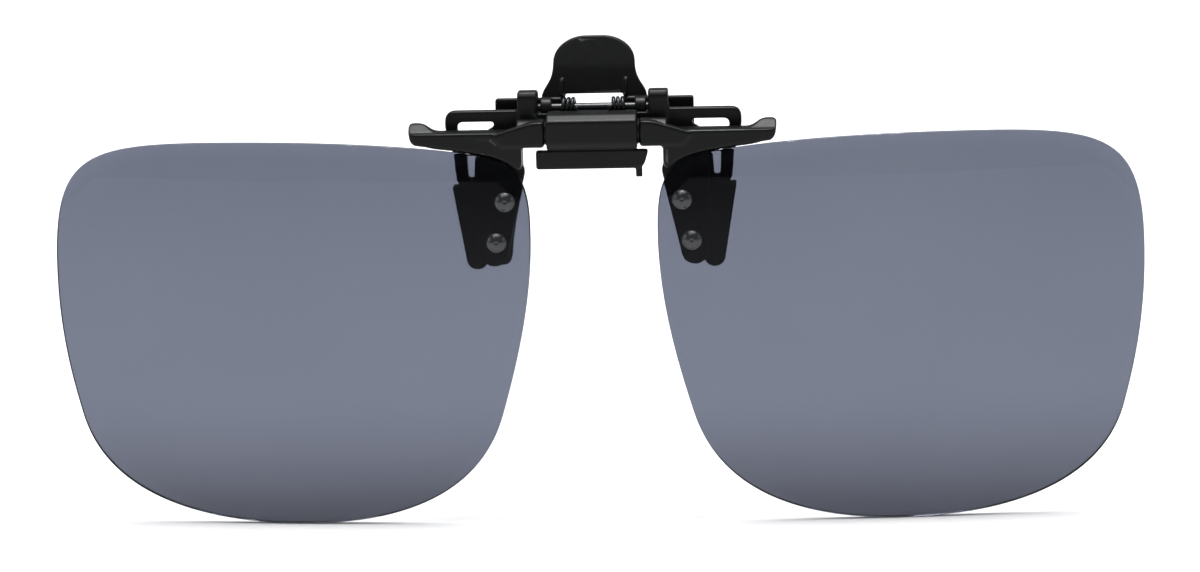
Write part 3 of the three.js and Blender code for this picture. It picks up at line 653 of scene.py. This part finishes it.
def add_ring(bm, x_low, x_high, outer_r, inner_r, segments=40):
    """A ring round the flip axis, a boss that closes the gap at one end of the barrel."""
    loops = []
    for x, radius in ((x_low, inner_r), (x_low, outer_r), (x_high, outer_r), (x_high, inner_r)):
        angles = (2 * math.pi * i / segments for i in range(segments))
        loops.append([
            bm.verts.new((x, FLIP_AXIS_Y + radius * math.cos(t), FLIP_AXIS_Z + radius * math.sin(t)))
            for t in angles
        ])
    faces = []
    for first, second in zip(loops, loops[1:] + loops[:1]):
        for i in range(segments):
            j = (i + 1) % segments
            faces.append(bm.faces.new((first[i], first[j], second[j], second[i])))
    bmesh.ops.recalc_face_normals(bm, faces=faces)


cover_cast = cast_from("hinge_cover")
for low_x, high_x in ((BARREL_HALF_LENGTH - 0.4, BOSS_END_X), (-BOSS_END_X, 0.4 - BARREL_HALF_LENGTH)):
    add_ring(cover_cast, low_x, high_x, BOSS_R, BOSS_BORE_R)
barrel_cover = new_piece("barrel_cover", cover_cast)
mould(barrel_cover, voxel=0.09, rounds=4, keep=1.0)
finish_piece(barrel_cover, "clip", "black_plastic", MOULDED_BLACK, "hinge_cover")

front_jaw = new_piece("front_jaw", cast_from("clip_body"))
mould(front_jaw)
finish_piece(front_jaw, "clip", "black_plastic", MOULDED_BLACK, "clip_body")

thumb_lever = new_piece("thumb_lever", cast_from("rear_jaw"))
mould(thumb_lever)
finish_piece(thumb_lever, "clamp_lever", "black_plastic", MOULDED_BLACK, "rear_jaw")


# ---- rubber sleeves --------------------------------------------------------------------------------
def sleeve_outline(sizes, inset, top_z, tip_steps=12):
    """A tapered strip with a round end, as seen from the front."""
    inner, outer, tip_inner, tip_outer = sizes
    radius = (tip_outer - tip_inner) / 2 - inset
    middle = (tip_inner + tip_outer) / 2
    tip_z = SLEEVE_BOTTOM_Z + inset + radius
    points = [(inner + inset, top_z)]
    for i in range(tip_steps + 1):
        angle = math.pi + math.pi * i / tip_steps
        points.append((middle + radius * math.cos(angle), tip_z + radius * math.sin(angle)))
    points.append((outer - inset, top_z))
    return points


def make_sleeve(name, sizes, side):
    """A soft sleeve, open at the top and round at its lower end."""
    near, far = SLEEVE_NEAR_Y, SLEEVE_NEAR_Y + SLEEVE_THICKNESS
    ends = sorted((side * near, side * far))
    bm = bmesh.new()
    add_prism(bm, sleeve_outline(sizes, 0.02, SLEEVE_TOP_Z - 0.02), seen_from_front, *ends)
    sleeve = new_piece(name, bm)
    pocket = bmesh.new()
    inside = sorted((side * (near + SLEEVE_WALL), side * (far - SLEEVE_WALL)))
    add_prism(pocket, sleeve_outline(sizes, SLEEVE_WALL, SLEEVE_TOP_Z + 1), seen_from_front, *inside)
    cut_away(sleeve, new_piece("pocket", pocket))
    mould(sleeve, voxel=0.1, rounds=9)
    return sleeve


SLEEVES = (("front", FRONT_SLEEVE, -1, "clip"), ("rear", REAR_SLEEVE, 1, "clamp_lever"))
for place, sizes, side, body in SLEEVES:
    right_sleeve = make_sleeve(f"{place}_sleeve_right", sizes, side)
    left_sleeve = mirrored_piece(right_sleeve, f"{place}_sleeve_left")
    smooth_shade(left_sleeve)
    finish_piece(right_sleeve, body, "grip_rubber", DIPPED_RUBBER, f"{place}_grip_sleeve_right")
    finish_piece(left_sleeve, body, "grip_rubber", DIPPED_RUBBER, f"{place}_grip_sleeve_left")


# ---- clamp pin and springs ---------------------------------------------------------------------------
def make_pin():
    """A steel pin with chamfered ends."""
    low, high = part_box("clamp_pin")
    half = high.x / MM
    radius = (high.z - low.z) / 2 / MM
    chamfer = 0.15
    bm = bmesh.new()
    turn = Matrix.Translation((0, PIN_Y, PIN_Z)) @ Matrix.Rotation(math.pi / 2, 4, "Y")
    profile = [
        (0, -half), (radius - chamfer, -half), (radius, -half + chamfer),
        (radius, half - chamfer), (radius - chamfer, half), (0, half),
    ]
    add_turned(bm, profile, turn, 40)
    pin = new_piece("hinge_pin", bm)
    smooth_shade(pin, 30)
    return pin


finish_piece(make_pin(), "clip", "spring_steel", DRAWN_STEEL, "clamp_pin")


def spring_path(steps_per_turn=20):
    """The wire's middle line: a leg over the saddle, the coil round the pin, a short rear leg."""
    coil = []
    for i in range(int(SPRING_TURNS * steps_per_turn) + 1):
        turn = i / steps_per_turn
        angle = math.pi + turn * 2 * math.pi
        coil.append(Vector((
            SPRING_INNER_X + turn * SPRING_PITCH,
            PIN_Y + SPRING_COIL_R * math.cos(angle),
            PIN_Z + SPRING_COIL_R * math.sin(angle),
        )))
    saddle_leg = [
        Vector((SPRING_INNER_X, -2.0, FLIP_AXIS_Z + 2.55)),
        Vector((SPRING_INNER_X, PIN_Y - SPRING_COIL_R - 0.1, FLIP_AXIS_Z + 2.52)),
    ]
    end_x = coil[-1].x
    tab_leg = [
        Vector((end_x, PIN_Y + SPRING_COIL_R + 0.05, PIN_Z + 0.45)),
        Vector((end_x, PIN_Y + SPRING_COIL_R + 0.1, PIN_Z + 0.9)),
    ]
    return saddle_leg + coil + tab_leg


def make_spring(side, sign):
    """A torsion spring of round wire, swept along its path."""
    curve = bpy.data.curves.new(f"torsion_spring_{side}", "CURVE")
    curve.dimensions = "3D"
    curve.bevel_depth = SPRING_WIRE_R
    curve.bevel_resolution = 3
    curve.use_fill_caps = True
    path = spring_path()
    line = curve.splines.new("POLY")
    line.points.add(len(path) - 1)
    for point, place in zip(line.points, path):
        point.co = (sign * place.x, place.y, place.z, 1)
    wire = bpy.data.objects.new(f"torsion_spring_{side}", curve)
    bpy.context.scene.collection.objects.link(wire)
    bpy.context.view_layer.update()
    graph = bpy.context.evaluated_depsgraph_get()
    mesh = bpy.data.meshes.new_from_object(wire.evaluated_get(graph))
    bpy.data.objects.remove(wire)
    spring = bpy.data.objects.new(f"torsion_spring_{side}", mesh)
    bpy.context.scene.collection.objects.link(spring)
    smooth_shade(spring, 50)
    return spring


for side, sign in SIDES:
    finish_piece(make_spring(side, sign), "clip", "spring_steel", DRAWN_STEEL, f"clamp_spring_{side}")

for node in ("flip_shaft", "detent_leaf"):
    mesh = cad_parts[node].data
    mesh.materials.clear()
    mesh.materials.append(DRAWN_STEEL)


# ---- floor, light and camera ---------------------------------------------------------------------------
def make_floor():
    """A wide pale floor that the lenses' lowest edges stand on."""
    bm = bmesh.new()
    bmesh.ops.create_grid(bm, x_segments=8, y_segments=8, size=FLOOR_REACH / MM)
    floor = new_piece("floor", bm)
    floor.data.transform(Matrix.Scale(MM, 4))
    floor.data.transform(Matrix.Translation((0, 0, cad_low.z)))
    material, tree, surface = new_material("pale_floor")
    surface.inputs["Base Color"].default_value = (0.88, 0.88, 0.885, 1)
    surface.inputs["Roughness"].default_value = 0.9
    surface.inputs["Specular IOR Level"].default_value = 0.1
    floor.data.materials.append(material)


def soft_light(name, place, size, power):
    """A square soft light that faces the origin, with its place and size in metres."""
    lamp = bpy.data.lights.new(name, "AREA")
    lamp.shape = "SQUARE"
    lamp.size = size
    lamp.energy = power
    light = bpy.data.objects.new(name, lamp)
    light.location = place
    light.rotation_euler = (-Vector(place)).to_track_quat("-Z", "Y").to_euler()
    bpy.context.scene.collection.objects.link(light)


def sky_light(name, strength, spread_degrees):
    """A broad even light from straight above, the same everywhere on the floor."""
    lamp = bpy.data.lights.new(name, "SUN")
    lamp.energy = strength
    lamp.angle = math.radians(spread_degrees)
    light = bpy.data.objects.new(name, lamp)
    light.location = (0, 0, 1)
    bpy.context.scene.collection.objects.link(light)


def make_surroundings():
    """Dim grey all round, which the camera itself sees as a pale backdrop."""
    world = bpy.data.worlds.new("studio")
    bpy.context.scene.world = world
    world.use_nodes = True
    tree = world.node_tree
    dim = tree.nodes["Background"]
    dim.inputs["Color"].default_value = (0.95, 0.97, 1.0, 1)
    dim.inputs["Strength"].default_value = 0.25
    pale = add_node(tree, "ShaderNodeBackground", {"Color": (1, 1, 1, 1), "Strength": 0.95})
    ray = add_node(tree, "ShaderNodeLightPath")
    mix = add_node(tree, "ShaderNodeMixShader")
    tree.links.new(ray.outputs["Is Camera Ray"], mix.inputs[0])
    tree.links.new(dim.outputs[0], mix.inputs[1])
    tree.links.new(pale.outputs[0], mix.inputs[2])
    tree.links.new(mix.outputs[0], tree.nodes["World Output"].inputs["Surface"])


def make_camera():
    """A long lens a little above and to the right, straight at the front of the hinge."""
    azimuth, elevation, roll = math.radians(3), math.radians(12), math.radians(-1.45)
    distance = 0.4
    aim = Vector((0.5 * MM, FLIP_AXIS_Y * MM, (cad_low.z + cad_high.z) / 2))
    back = Vector((
        math.sin(azimuth) * math.cos(elevation),
        -math.cos(azimuth) * math.cos(elevation),
        math.sin(elevation),
    ))
    data = bpy.data.cameras.new("camera")
    data.lens = 96
    data.sensor_width = 36
    data.clip_start = 0.01
    camera = bpy.data.objects.new("camera", data)
    turn = (-back).to_track_quat("-Z", "Y").to_matrix().to_4x4() @ Matrix.Rotation(roll, 4, "Z")
    camera.matrix_world = Matrix.Translation(aim + back * distance) @ turn
    bpy.context.scene.collection.objects.link(camera)
    bpy.context.scene.camera = camera


make_floor()
make_surroundings()
sky_light("overhead", strength=2.6, spread_degrees=60)
soft_light("overhead_card", place=(0.0, 0.03, 0.6), size=0.18, power=3.6)
soft_light("key", place=(-0.22, -0.32, 0.55), size=0.12, power=0.3)
soft_light("side_left", place=(-0.6, -0.1, 0.2), size=0.3, power=0.45)
soft_light("side_right", place=(0.6, -0.1, 0.2), size=0.3, power=0.3)
make_camera()
bpy.context.scene.view_settings.view_transform = "Standard"
